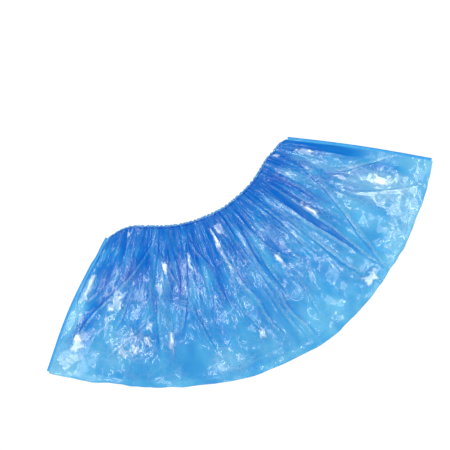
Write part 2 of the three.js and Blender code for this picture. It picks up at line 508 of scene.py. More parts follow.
@dataclass(frozen=True)
class Patch:
    """An oval zone of the film with more or less of something.

    Its place and half sizes are shares along and across the film.
    """

    along: float
    across: float
    half_along: float
    half_across: float
    amount: float

    def at(self, along: Array, across: Array) -> Array:
        """The patch's amount, fading out at its rim."""
        x, y = (along - self.along) / self.half_along, (across - self.across) / self.half_across
        return self.amount * smoothstep(-np.hypot(x, y), -1.15, -0.45)


@dataclass(frozen=True)
class Crumple:
    """One size of the creased facets in the film, in millimetres on the flat film.

    Its strength goes from at_sole to at_hem between two shares across the film.
    """

    height: float
    width: float
    length: float
    fine: bool
    turn: tuple
    offset: tuple
    at_sole: float
    at_hem: float
    between: tuple

    def relief(self, noise: Noise, x: Array, y: Array, across: Array) -> Array:
        """Gives the facets' heights.

        Args:
            noise: Random values of their corners.
            x: Places along the flat film.
            y: Places across the flat film.
            across: Shares across the film.

        Returns:
            Heights in millimetres, about 0.
        """
        c, s = self.turn
        p = (c * x + s * y) / self.width + self.offset[0]
        q = (c * y - s * x) / self.length + self.offset[1]
        strength = lerp(self.at_sole, self.at_hem, smoothstep(across, *self.between))
        return self.height * noise.facets(p, q) * strength


class FilmShape:
    """Works out the film's relief, how much film light passes through, and how milky it is, with painted
    sheen, painted highlights and painted glints.
    """

    # The long folds.
    FOLDS = from_rows(
        FoldLine,
        (((0.2, 0.88), (0.095, 0.58), (0.03, 0.17)), 3.6, 3.0, 6.0, -0.5, 1.3, 8.0),
        (((0.012, 0.8), (0.012, 0.42)), 2.2, 2.0, 5.0, -0.5, 0.4, 3.0),
        (((0.22, 0.84), (0.262, 0.73), (0.285, 0.6)), 2.4, 3.0, 2.5, 0.4, 0.3, 4.0),
        (((0.28, 0.98), (0.303, 0.8), (0.287, 0.53)), 2.8, 2.5, 3.5, -0.6, 1.0, 4.5),
        (((0.335, 0.92), (0.31, 0.62), (0.28, 0.33)), 2.8, 3.5, 2.5, 0.5, 0.4, 3.5),
        (((0.305, 0.62), (0.33, 0.42), (0.36, 0.18)), 2.0, 3.0, 2.2, 0.4, 0.35, 4.0),
        (((0.35, 0.93), (0.4, 0.68), (0.415, 0.46)), 3.2, 4.5, 2.6, 0.6, 1.0, 9.0),
        (((0.228, 0.56), (0.23, 0.24)), 2.4, 1.8, 2.4, -0.4, 0.4, 4.0),
        (((0.255, 0.46), (0.256, 0.2)), 2.2, 2.6, 1.8, 0.4, 0.3, 3.5),
        (((0.452, 0.93), (0.48, 0.6), (0.505, 0.15)), 3.4, 5.0, 2.4, 0.6, 0.8, 3.8),
        (((0.485, 0.98), (0.5, 0.72)), 2.4, 2.0, 4.0, -0.4, 0.5, 3.5),
        (((0.53, 0.98), (0.53, 0.6), (0.545, 0.1)), 2.6, 3.0, 2.0, 0.5, 0.45, 3.0),
        (((0.565, 1.0), (0.552, 0.7), (0.563, 0.04)), 3.4, 3.4, 2.2, 0.6, 0.9, 4.0),
        (((0.59, 0.97), (0.58, 0.65), (0.575, 0.4)), 2.4, 2.0, 3.4, -0.5, 0.5, 3.0),
        (((0.59, 0.88), (0.615, 0.6), (0.655, 0.46)), 2.8, 4.5, 2.4, 0.6, 0.8, 8.0),
        (((0.665, 0.96), (0.655, 0.62)), 2.2, 3.0, 2.0, 0.4, 0.5, 3.0),
        (((0.7, 0.97), (0.697, 0.45)), 2.4, 2.0, 3.0, -0.4, 0.4, 3.0),
        (((0.73, 0.98), (0.727, 0.6), (0.72, 0.12)), 3.4, 2.4, 2.4, -0.3, 0.35, 2.5),
        (((0.752, 0.98), (0.75, 0.55), (0.755, 0.22)), 3.2, 3.4, 2.6, 0.5, 1.1, 8.0),
        (((0.792, 0.93), (0.778, 0.5), (0.765, 0.08)), 3.2, 2.2, 5.0, -0.5, 0.6, 3.4),
        (((0.84, 0.93), (0.825, 0.58)), 2.4, 2.2, 3.4, -0.4, 0.6, 4.0),
        (((0.935, 0.87), (0.86, 0.55), (0.766, 0.03)), 3.6, 3.0, 3.2, -0.5, 0.7, 3.4),
        (((0.9, 0.76), (0.84, 0.48), (0.785, 0.18)), 2.6, 2.6, 3.4, -0.5, 0.5, 3.0),
        (((0.955, 0.95), (0.9, 0.7), (0.872, 0.58)), 2.4, 2.0, 3.0, -0.4, 0.5, 3.0),
        (((0.925, 0.64), (0.955, 0.46), (0.99, 0.28)), 3.0, 2.4, 4.0, -0.6, 1.5, 10.0),
        (((0.89, 0.42), (0.92, 0.24), (0.945, 0.06)), 1.8, 3.0, 1.8, 0.4, 0.35, 2.5),
        (((0.965, 0.95), (0.975, 0.5)), 2.4, 3.0, 2.0, 0.5, 1.0, 7.0),
        (((0.21, 0.47), (0.15, 0.3), (0.105, 0.13)), 2.2, 2.6, 2.0, 0.4, 0.3, 3.0),
        (((0.14, 0.62), (0.112, 0.3)), 2.0, 4.0, 2.0, 0.5, 0.5, 5.0),
        (((0.45, 0.42), (0.475, 0.16)), 1.6, 1.8, 2.6, -0.4, 0.3, 3.0),
        (((0.62, 0.42), (0.6, 0.14)), 1.8, 2.0, 3.0, -0.4, 0.3, 3.0),
    )
    # The gathers at the hem, from the widest to the finest.
    PLEATS = (
        Pleats(14, 2.2 * MM, 0.7, 0.5, 11),
        Pleats(29, 1.6 * MM, 0.48, 0.6, 23),
        Pleats(52, 0.95 * MM, 0.32, 0.7, 31),
        Pleats(92, 0.45 * MM, 0.18, 0.6, 47),
    )
    # Where the film is less crumpled than elsewhere, or more, above 0.
    CALM = from_rows(
        Patch,
        (0.31, 0.22, 0.045, 0.24, -0.85), (0.155, 0.47, 0.04, 0.07, -0.5), (0.17, 0.7, 0.035, 0.1, -0.6),
        (0.415, 0.37, 0.03, 0.12, -0.6), (0.52, 0.25, 0.02, 0.28, -0.7), (0.685, 0.3, 0.035, 0.2, -0.6),
        (0.765, 0.75, 0.015, 0.26, -0.8), (0.41, 0.78, 0.03, 0.16, -0.7), (0.03, 0.8, 0.05, 0.26, -0.65),
        (0.985, 0.65, 0.02, 0.28, -0.7), (0.625, 0.62, 0.025, 0.13, -0.5), (0.3, 0.76, 0.012, 0.2, -0.4),
        (0.965, 0.3, 0.012, 0.16, -0.4), (0.07, 0.38, 0.015, 0.14, -0.5), (0.9, 0.4, 0.03, 0.16, -0.35),
        (0.16, 0.25, 0.06, 0.13, 0.7), (0.47, 0.6, 0.03, 0.25, 0.3), (0.38, 0.14, 0.04, 0.1, 0.2),
        (0.22, 0.62, 0.03, 0.07, 0.5), (0.46, 0.75, 0.015, 0.15, 0.6), (0.85, 0.85, 0.06, 0.1, 0.4),
        (0.61, 0.55, 0.015, 0.1, 0.4), (0.68, 0.85, 0.03, 0.1, 0.4),
    )
    # The facets all over the film, and the long ones that the gathers draw out.
    CRUMPLES = (
        Crumple(2.4, 27, 34, False, (1.0, 0.0), (0, 0), 1.0, 0.5, (0.3, 0.75)),
        Crumple(1.7, 12.5, 15, True, (0.8, 0.6), (0, 0), 1.0, 0.5, (0.3, 0.75)),
        Crumple(0.6, 6.4, 8.2, False, (0.5, -0.86), (50, 50), 1.0, 0.75, (0.3, 0.75)),
        Crumple(1.7, 8.5, 46, True, (1.0, 0.0), (70, 30), 0.0, 1.0, (0.2, 0.8)),
        Crumple(0.7, 4.2, 21, False, (1.0, 0.0), (10, 80), 0.0, 1.0, (0.1, 0.7)),
    )
    # The flat spots that shine: tilted to mirror a lamp, and given a painted glint as well.
    GLINTS = from_rows(
        Facet,
        (0.101, 0.515, 0.02, 0.07, 1), (0.02, 0.6, 0.008, 0.09, 1), (0.04, 0.24, 0.012, 0.06, 1),
        (0.46, 0.85, 0.011, 0.07, 3), (0.5, 0.9, 0.012, 0.05, 2), (0.962, 0.82, 0.01, 0.07, 0),
        (0.735, 0.065, 0.022, 0.04, 0), (0.165, 0.235, 0.013, 0.03, 0), (0.195, 0.285, 0.012, 0.03, 1),
        (0.14, 0.2, 0.012, 0.025, 2), (0.2, 0.385, 0.01, 0.035, 0), (0.255, 0.3, 0.006, 0.07, 1),
        (0.612, 0.55, 0.007, 0.05, 3), (0.085, 0.955, 0.008, 0.022, 0), (0.92, 0.965, 0.012, 0.02, 2),
        (0.225, 0.62, 0.014, 0.03, 2), (0.245, 0.75, 0.012, 0.03, 0), (0.47, 0.22, 0.01, 0.03, 1),
        (0.935, 0.3, 0.014, 0.05, 2), (0.79, 0.62, 0.009, 0.08, 0), (0.34, 0.78, 0.009, 0.05, 1),
    )
    # Shares along the film, and how much film light passes through there.
    DENSITY_ALONG = (
        (0, 7.5), (0.04, 8.8), (0.12, 9.4), (0.3, 9.6), (0.5, 9.0), (0.65, 8.6), (0.8, 8.4),
        (0.92, 8.2), (1, 7.8),
    )
    # Where light passes through more film than elsewhere, or less, below 0.
    DARK = from_rows(
        Patch,
        (0.03, 0.8, 0.06, 0.28, 2.2), (0.05, 0.48, 0.025, 0.25, 2.8), (0.165, 0.72, 0.04, 0.11, 3.6),
        (0.125, 0.52, 0.015, 0.1, 2.5), (0.12, 0.9, 0.07, 0.07, 0.5), (0.412, 0.8, 0.035, 0.17, 5.5),
        (0.405, 0.55, 0.02, 0.12, 4.6), (0.3, 0.76, 0.014, 0.22, 6.0), (0.27, 0.55, 0.012, 0.1, 2.0),
        (0.765, 0.75, 0.016, 0.3, 8.0), (0.625, 0.62, 0.03, 0.14, 6.5), (0.66, 0.78, 0.03, 0.24, 2.2),
        (0.985, 0.7, 0.026, 0.32, 5.0), (0.965, 0.28, 0.014, 0.18, 2.4), (0.83, 0.75, 0.012, 0.24, 2.2),
        (0.56, 0.8, 0.01, 0.22, 3.0), (0.25, 0.95, 0.09, 0.05, 2.5), (0.7, 0.95, 0.08, 0.05, 3.0),
        (0.34, 0.32, 0.02, 0.2, 1.5), (0.69, 0.3, 0.03, 0.2, 1.2), (0.92, 0.35, 0.05, 0.27, -1.7),
        (0.88, 0.08, 0.1, 0.1, -1.7), (0.02, 0.1, 0.06, 0.14, -1.6), (0.015, 0.42, 0.014, 0.22, -2.8),
        (0.5, 0.75, 0.025, 0.12, -0.4), (0.96, 0.82, 0.014, 0.09, -2.5), (0.39, 0.12, 0.05, 0.1, -1.2),
        (0.12, 0.4, 0.035, 0.16, -2.0), (0.12, 0.22, 0.06, 0.16, -2.4), (0.84, 0.42, 0.035, 0.3, -2.0),
        (0.22, 0.68, 0.045, 0.14, -2.6), (0.6, 0.1, 0.08, 0.08, -0.7), (0.62, 0.2, 0.06, 0.2, -0.8),
    )
    # Where the film is milkier and has more painted sheen than elsewhere, or less, below 0.
    HAZE = from_rows(
        Patch,
        (0.92, 0.35, 0.06, 0.3, 0.7), (0.88, 0.08, 0.1, 0.1, 0.25), (0.94, 0.8, 0.05, 0.14, 0.4),
        (0.8, 0.68, 0.014, 0.24, 0.35), (0.85, 0.88, 0.05, 0.1, 0.3), (0.16, 0.26, 0.06, 0.12, 0.35),
        (0.02, 0.1, 0.05, 0.16, 0.2), (0.46, 0.78, 0.014, 0.2, 0.35), (0.5, 0.9, 0.02, 0.08, 0.3),
        (0.245, 0.72, 0.035, 0.14, 0.18), (0.38, 0.12, 0.05, 0.1, 0.25), (0.66, 0.68, 0.03, 0.14, 0.2),
        (0.47, 0.5, 0.03, 0.25, 0.1), (0.245, 0.35, 0.014, 0.16, 0.25), (0.31, 0.22, 0.05, 0.24, -0.15),
        (0.97, 0.28, 0.012, 0.18, -0.5), (0.05, 0.42, 0.02, 0.14, -0.3), (0.765, 0.7, 0.016, 0.3, -0.3),
        (0.41, 0.76, 0.05, 0.26, -0.35), (0.03, 0.8, 0.06, 0.3, -0.2), (0.985, 0.68, 0.02, 0.3, -0.4),
        (0.625, 0.62, 0.03, 0.14, -0.2), (0.165, 0.74, 0.04, 0.12, -0.2),
    )

    # A crest's painted highlight in millimetres: its offset, its width, and the rise from which it is
    # full.
    CREST_OFFSET, CREST_WIDTH, FULL_CREST = 1.1, 0.8, 3
    # How strong the gathers' painted highlights are, and how far a flat spot is flattened.
    STREAK, FLATNESS = 0.9, 0.94
    # The lower panel's share of the crumples, their lift and their top.
    LOWER_CRUMPLE, LOWER_LIFT, LOWER_TOP = 0.45, 0.9 * MM, 2.2 * MM
    # More film at the hem, less at the sole's edge, and the limits.
    HEM_DENSITY, EDGE_DENSITY, DENSITY_RANGE = 5.2, 0.85, (2.5, 18.0)
    # Milkiness with painted sheen all over, more or less of it at the hem and as a painted glint in the
    # flat spots, and the limits.
    HAZE_BASE, HEM_HAZE, FLAT_HAZE = 0.3, -0.6, 1.2
    HAZE_RANGE, MOST_HAZE = (-0.18, 1), 2
    # The painted highlight that a crest adds to the milkiness, and the share of the depth of film that
    # it takes away.
    CREST_HAZE, CREST_CLEARING = 0.7, 0.28
    # How far the folds sway and the gathers lean, and the gathers' share of their depth.
    SWAY, PLEAT_LEAN, PLEAT_SHARE = 0.006, 0.5, 0.8
    # Layers of film in the gathers, and how many more at the hem.
    PLEAT_LAYERS, MORE_LAYERS = 0.95, 0.55
    # How far the facets' lattice is bent, and the size of the bends, in millimetres.
    BEND, BEND_CELL = 3.5, 31
    # Limits of how crumpled the film is, and how much of that is left at its edges and at the hem.
    LOUDNESS_RANGE, EDGE_LOUDNESS, HEM_LOUDNESS = (0.12, 1.8), 0.2, 0.65
    # The upper panel's lowest heights at the sole and further in.
    LOWEST_FOOT, LOWEST = 1.6 * MM, 3.2 * MM

    def __init__(self, fan: Fan) -> None:
        """Keeps the fan and draws the random values.

        Args:
            fan: The film's fan.
        """
        self.fan, self.sizes = fan, fan.sizes
        self.coarse, self.fine, self.soft = Noise(3), Noise(5), Noise(7)

    def gather(self, along: Array) -> Array:
        """The uneven waves of the CAD part's gathers, from 0 to 1.

        Args:
            along: Shares along the film.

        Returns:
            Values from 0 to 1.
        """
        s = self.sizes
        wave = 0.5 - 0.5 * np.cos(2 * np.pi * s.gathers * along)
        return wave * (0.75 + 0.25 * np.sin(2 * np.pi * s.gather_swells * along + 1))

    def lower_height(self, along: Array, across: Array) -> Array:
        """Height of the smooth lower panel.

        Args:
            along: Shares along the film.
            across: Shares across the film.

        Returns:
            Heights in metres.
        """
        s = self.sizes
        near = smoothstep(across, 1 - s.lower_gather_reach, 1 - s.lower_gather_reach / 4)
        lifted = s.lower_gather_depth * near * smoothstep(1 - across, -0.01, 0.06)
        hem = s.hem_wave * smoothstep(across, 0.9, 1)
        return s.wall / 2 + np.maximum(lifted, hem) * self.gather(along)

    def thread_height(self, panel: Panel, along: Array) -> Array:
        """Height of the elastic in a panel's hem.

        Args:
            panel: Which panel.
            along: Shares along the film.

        Returns:
            Heights in metres.
        """
        s = self.sizes
        if panel is Panel.LOWER:
            return self.lower_height(along, np.ones_like(along)) + s.roll_radius
        gap = lerp(s.hem_clearance, s.mouth_gap, self.fan.full(along))
        return 3 * s.roll_outside + s.hem_wave + gap + s.hem_wave * self.gather(along)

    def upper_height(self, along: Array, across: Array) -> Array:
        """Height of the smooth upper panel, without folds.

        Args:
            along: Shares along the film.
            across: Shares across the film.

        Returns:
            Heights in metres.
        """
        s, full = self.sizes, self.fan.full(along)
        top = self.thread_height(Panel.UPPER, along) + s.roll_radius
        rise = lerp(s.wall / 2 + 2 * s.sole_crease, top, across ** lerp(6.0, 1.2, full))
        return rise + s.loft * full * np.clip(np.sin(np.pi * across), 0, 1) ** 0.8

    def crumple(self, along: Array, across: Array, seed: int = 0) -> Array:
        """Creased facets of several sizes, worked out on the flat film.

        Args:
            along: Shares along the film.
            across: Shares across the film.
            seed: Offset that gives each panel its own facets.

        Returns:
            Heights in metres, about 0.
        """
        x = along * self.sizes.sole_fold / MM + seed * 37.0
        y = across * self.sizes.panel_height / MM + seed * 61.0
        column, row = x / self.BEND_CELL, y / self.BEND_CELL
        bend_x = self.BEND * self.soft.smooth(column, row)
        bend_y = self.BEND * self.soft.smooth(column + 40, row + 9)
        height = np.zeros_like(along)
        for size in self.CRUMPLES:
            noise = self.fine if size.fine else self.coarse
            height = height + size.relief(noise, x + bend_x, y + bend_y, across)
        return height * MM

    def loudness(self, along: Array, across: Array) -> Array:
        """How crumpled the film is: calm in places, loud in others.

        Args:
            along: Shares along the film.
            across: Shares across the film.

        Returns:
            Factors of the crumples' heights.
        """
        value = 1.0 + 0.25 * self.soft.smooth(along * 9, across * 3.4)
        for patch in self.CALM:
            value = value + patch.at(along, across)
        from_end = np.minimum(along, 1 - along)
        edge = smoothstep(across, -0.01, 0.035) * smoothstep(from_end, -0.004, 0.03)
        value = np.clip(value, *self.LOUDNESS_RANGE) * lerp(self.EDGE_LOUDNESS, 1.0, edge)
        return value * lerp(1.0, self.HEM_LOUDNESS, smoothstep(across, 0.75, 1))

    def upper(self, along: Array, across: Array) -> tuple[Array, Array, Array, Array]:
        """The upper panel's relief.

        Args:
            along: Shares along the film.
            across: Shares across the film.

        Returns:
            Heights, shifts along the arc, the extra layers of film, and the painted highlights beside
            the folds' crests and along the gathers.
        """
        s, full = self.sizes, self.fan.full(along)
        radius = self.fan.radius(along, across)
        held = smoothstep(1 - across, -0.01, 0.05)
        scale = lerp(0.45, 1.0, full) * held
        shift, layers, ridges, crests, pleated = np.zeros((5, *along.shape))
        for fold in self.FOLDS:
            row = np.full_like(across, fold.lean * 5)
            sway = self.SWAY * self.soft.smooth(across * 7 + fold.rise * 10, row)
            distance = (along - fold.middle(across) - sway) * radius * s.fan
            ridge = fold.ridge(distance, across) * scale
            ridges = np.maximum(ridges, ridge)
            shift = shift + ridge * fold.lean
            layers = layers + fold.doubled(distance, across)
            # A painted highlight just beside the crest, on the side away from its lean.
            offset = distance * math.copysign(1, fold.lean) / MM
            crest = np.exp(-((offset + self.CREST_OFFSET) / self.CREST_WIDTH) ** 2)
            crest = crest * fold.strength(across) * min(1.0, fold.rise / self.FULL_CREST)
            crests = np.maximum(crests, crest)
        for pleats in self.PLEATS:
            strength, wave = pleats.strength(along, across), pleats.wave(along, across)
            pleated = pleated + pleats.depth * wave * strength
            lean = self.PLEAT_LEAN * np.sin(along * 40 + pleats.count)
            shift = shift + pleats.depth * lean * (wave - 0.5) * strength
            packed = self.PLEAT_LAYERS + self.MORE_LAYERS * smoothstep(across, 0.82, 0.96)
            layers = layers + packed * (wave - 0.4) * strength
            # Painted highlight streaks where the gathers are lowest, in patches.
            patchy = self.coarse.facets(along * 60 + pleats.count, across * 6)
            streak = smoothstep(1 - wave, 0.5, 0.85) * strength * smoothstep(patchy, -0.5, 0.5)
            crests = np.maximum(crests, self.STREAK * streak)
        crumple = self.crumple(along, across) * self.loudness(along, across) * lerp(0.55, 1.0, full)
        pleated = pleated * scale * self.PLEAT_SHARE
        height = self.upper_height(along, across) + ridges + pleated + crumple
        shift = shift * held
        points = self.fan.place(along, radius, height, shift + self.fan.bow(along, across))
        height = self.flattened(along, across, points)
        floor = lerp(self.LOWEST_FOOT, self.LOWEST, smoothstep(across, 0, 0.1))
        return np.maximum(height, floor), shift, layers, crests

    def flattened(self, along: Array, across: Array, points: Array) -> Array:
        """Tilts the flat spots so that they mirror their lamps to a viewer overhead.

        Args:
            along: Shares along the film.
            across: Shares across the film.
            points: The film's points before that.

        Returns:
            Heights in metres.
        """
        height = points[..., 2]
        for facet in self.GLINTS:
            share = facet.share(along, across) * self.FLATNESS
            if share.max() <= 0:
                continue
            weight = share / share.sum()
            centre = np.array([(points[..., axis] * weight).sum() for axis in range(3)])
            to_lamp, to_viewer = LAMPS[facet.lamp].place() - centre, VIEWER - centre
            half = to_lamp / np.linalg.norm(to_lamp) + to_viewer / np.linalg.norm(to_viewer)
            tilted = centre[2] - ((points[..., :2] - centre[:2]) @ half[:2]) / half[2]
            height = lerp(height, tilted, share)
        return height

    def lower(self, along: Array, across: Array) -> Array:
        """The lower panel's heights, pressed flat by the floor.

        Args:
            along: Shares along the film.
            across: Shares across the film.

        Returns:
            Heights in metres.
        """
        crumple = self.crumple(along, across, 1) * self.LOWER_CRUMPLE + self.LOWER_LIFT
        quiet = smoothstep(across, 0.0, 0.15) * smoothstep(1 - across, 0.0, 0.2)
        room = lerp(0.5, 1.0, self.fan.full(along))
        lifted = np.clip(crumple * self.loudness(along, across), 0, self.LOWER_TOP)
        return self.lower_height(along, across) + lifted * quiet * room

    def density(self, along: Array, across: Array, layers: Array) -> Array:
        """How much film light passes through, both panels together.

        Args:
            along: Shares along the film.
            across: Shares across the film.
            layers: Extra layers from folds.

        Returns:
            Exponents of the film's tint.
        """
        value = np.interp(along, *zip(*self.DENSITY_ALONG))
        packed = self.sizes.sole_radius / self.fan.radius(along, across)
        value = value * (0.76 + 0.22 * packed ** 2) * lerp(0.9, 1.0, smoothstep(across, 0, 0.4))
        for patch in self.DARK:
            value = value + patch.at(along, across)
        wide, narrow = self.soft.smooth(along * 21, across * 7), self.soft.smooth(along * 60, across * 9)
        value = value * (1 + 0.13 * wide + 0.12 * narrow) * (1 + 0.5 * np.clip(layers, -0.5, 1.5))
        fine, slow = self.fine.facets(along * 130, across * 5), self.soft.smooth(along * 24, across)
        hem = smoothstep(across, 0.85, 0.95) * smoothstep(1 - across, 0.0, 0.02)
        value = value + self.HEM_DENSITY * hem * (1 + 0.9 * fine + 0.5 * slow)
        edge = smoothstep(-across, -0.042, -0.03)
        return np.clip(value * lerp(1.0, self.EDGE_DENSITY, edge), *self.DENSITY_RANGE)

    def crumpled(self, along: Array, across: Array) -> Array:
        """How strong the finest creases are: most where the film is loud, less in the flat spots.

        Args:
            along: Shares along the film.
            across: Shares across the film.

        Returns:
            Factors of the creases' tilts.
        """
        value = 0.75 * self.loudness(along, across)
        for facet in self.GLINTS:
            value = value * (1 - 0.6 * facet.share(along, across))
        return np.clip(value + 0.15, 0, 1.5)

    def haze(self, along: Array, across: Array) -> Array:
        """How milky the film is, with painted sheen: below 0 where deepest, 1 where palest, and more in
        the flat spots, where a painted glint is added.

        Args:
            along: Shares along the film.
            across: Shares across the film.

        Returns:
            Values from about -0.2 to 2.
        """
        value = self.HAZE_BASE + 0.14 * self.soft.smooth(along * 14 + 30, across * 5)
        value = value + self.HEM_HAZE * smoothstep(across, 0.66, 0.95)
        for patch in self.HAZE:
            value = value + patch.at(along, across)
        value = np.clip(value, *self.HAZE_RANGE) * lerp(0.6, 1.0, smoothstep(across, 0.0, 0.06))
        # Painted glints on the flat spots, over the lamp light that they mirror.
        for facet in self.GLINTS:
            value = value + self.FLAT_HAZE * facet.share(along, across)
        return np.minimum(value, self.MOST_HAZE)


class Bench:
    """Builds a material from shader nodes."""

    def __init__(self, name: str) -> None:
        """Starts an empty material.

        Args:
            name: The material's name.
        """
        self.material = bpy.data.materials.new(name)
        self.material.use_nodes = True
        self.tree = self.material.node_tree
        self.tree.nodes.clear()

    def node(self, kind: str, inputs: dict | None = None, **options: object) -> bpy.types.Node:
        """Adds a node.

        Args:
            kind: The node's type, without ShaderNode.
            inputs: Values or sockets for its inputs, by name or number.
            options: Settings of the node.

        Returns:
            The node.
        """
        made = self.tree.nodes.new("ShaderNode" + kind)
        for key, value in options.items():
            setattr(made, key, value)
        for key, value in (inputs or {}).items():
            self.feed(made.inputs[key], value)
        return made

    def feed(self, socket: Socket, value: object) -> None:
        """Links a socket to an input, or sets its value.

        Args:
            socket: The input.
            value: A socket, or a value.
        """
        if isinstance(value, Socket):
            self.tree.links.new(value, socket)
        else:
            socket.default_value = value

    def math(self, operation: str, *values: object) -> Socket:
        """Adds a Math node and gives its output."""
        return self.node("Math", dict(enumerate(values)), operation=operation).outputs[0]

    def vector(self, operation: str, inputs: dict) -> Socket:
        """Adds a Vector Math node and gives its output."""
        return self.node("VectorMath", inputs, operation=operation).outputs[0]

    def value(self, name: str) -> Socket:
        """Gives a value of the mesh by its name."""
        return self.node("Attribute", attribute_name=name).outputs["Fac"]

    def grain(self, scale: float, detail: float) -> Socket:
        """Gives fine noise over the piece."""
        place = self.node("TexCoord").outputs["Object"]
        return self.node("TexNoise", {"Vector": place, "Scale": scale, "Detail": detail}).outputs[0]

    def bump(self, height: Socket, strength: float, distance: float) -> Socket:
        """Gives a normal that is roughened by a height."""
        inputs = {"Height": height, "Strength": strength, "Distance": distance}
        return self.node("Bump", inputs).outputs[0]

    def power_tint(self, tint: tuple, exponent: Socket) -> Socket:
        """Gives a colour that is the tint to the power of a socket."""
        parts = {i: self.math("POWER", tint[i], exponent) for i in range(3)}
        return self.node("CombineColor", parts).outputs[0]

    def over_clear(self, tint: tuple, path: Socket, body: Socket, cover: object) -> bpy.types.Material:
        """Lays the body over a clear part, which takes half of the path because there are two panels.

        Args:
            tint: Colour that one layer of film lets through.
            path: How much film light passes through.
            body: Shader of the part that shines.
            cover: Share of the body.

        Returns:
            The material.
        """
        panel_tint = self.power_tint(tint, self.math("MULTIPLY", path, 0.5))
        clear = self.node("BsdfTransparent", {"Color": panel_tint}).outputs[0]
        return self.finish(self.node("MixShader", {0: cover, 1: clear, 2: body}).outputs[0])

    def finish(self, shader: Socket) -> bpy.types.Material:
        """Links the shader to the output and gives the material.

        Args:
            shader: The shader's output.

        Returns:
            The material.
        """
        out = self.node("OutputMaterial")
        self.tree.links.new(shader, out.inputs["Surface"])
        return self.material


@dataclass(frozen=True)
class Creasing:
    """One size of the finest creases: small flat cells, each tilted and shaded its own way.

    A cell's size is in metres, its stretch and line are shares of it, and the turn is in radians.
    """

    cell: float
    stretch: float
    tilt: float
    shade: float
    turn: float
    line: float


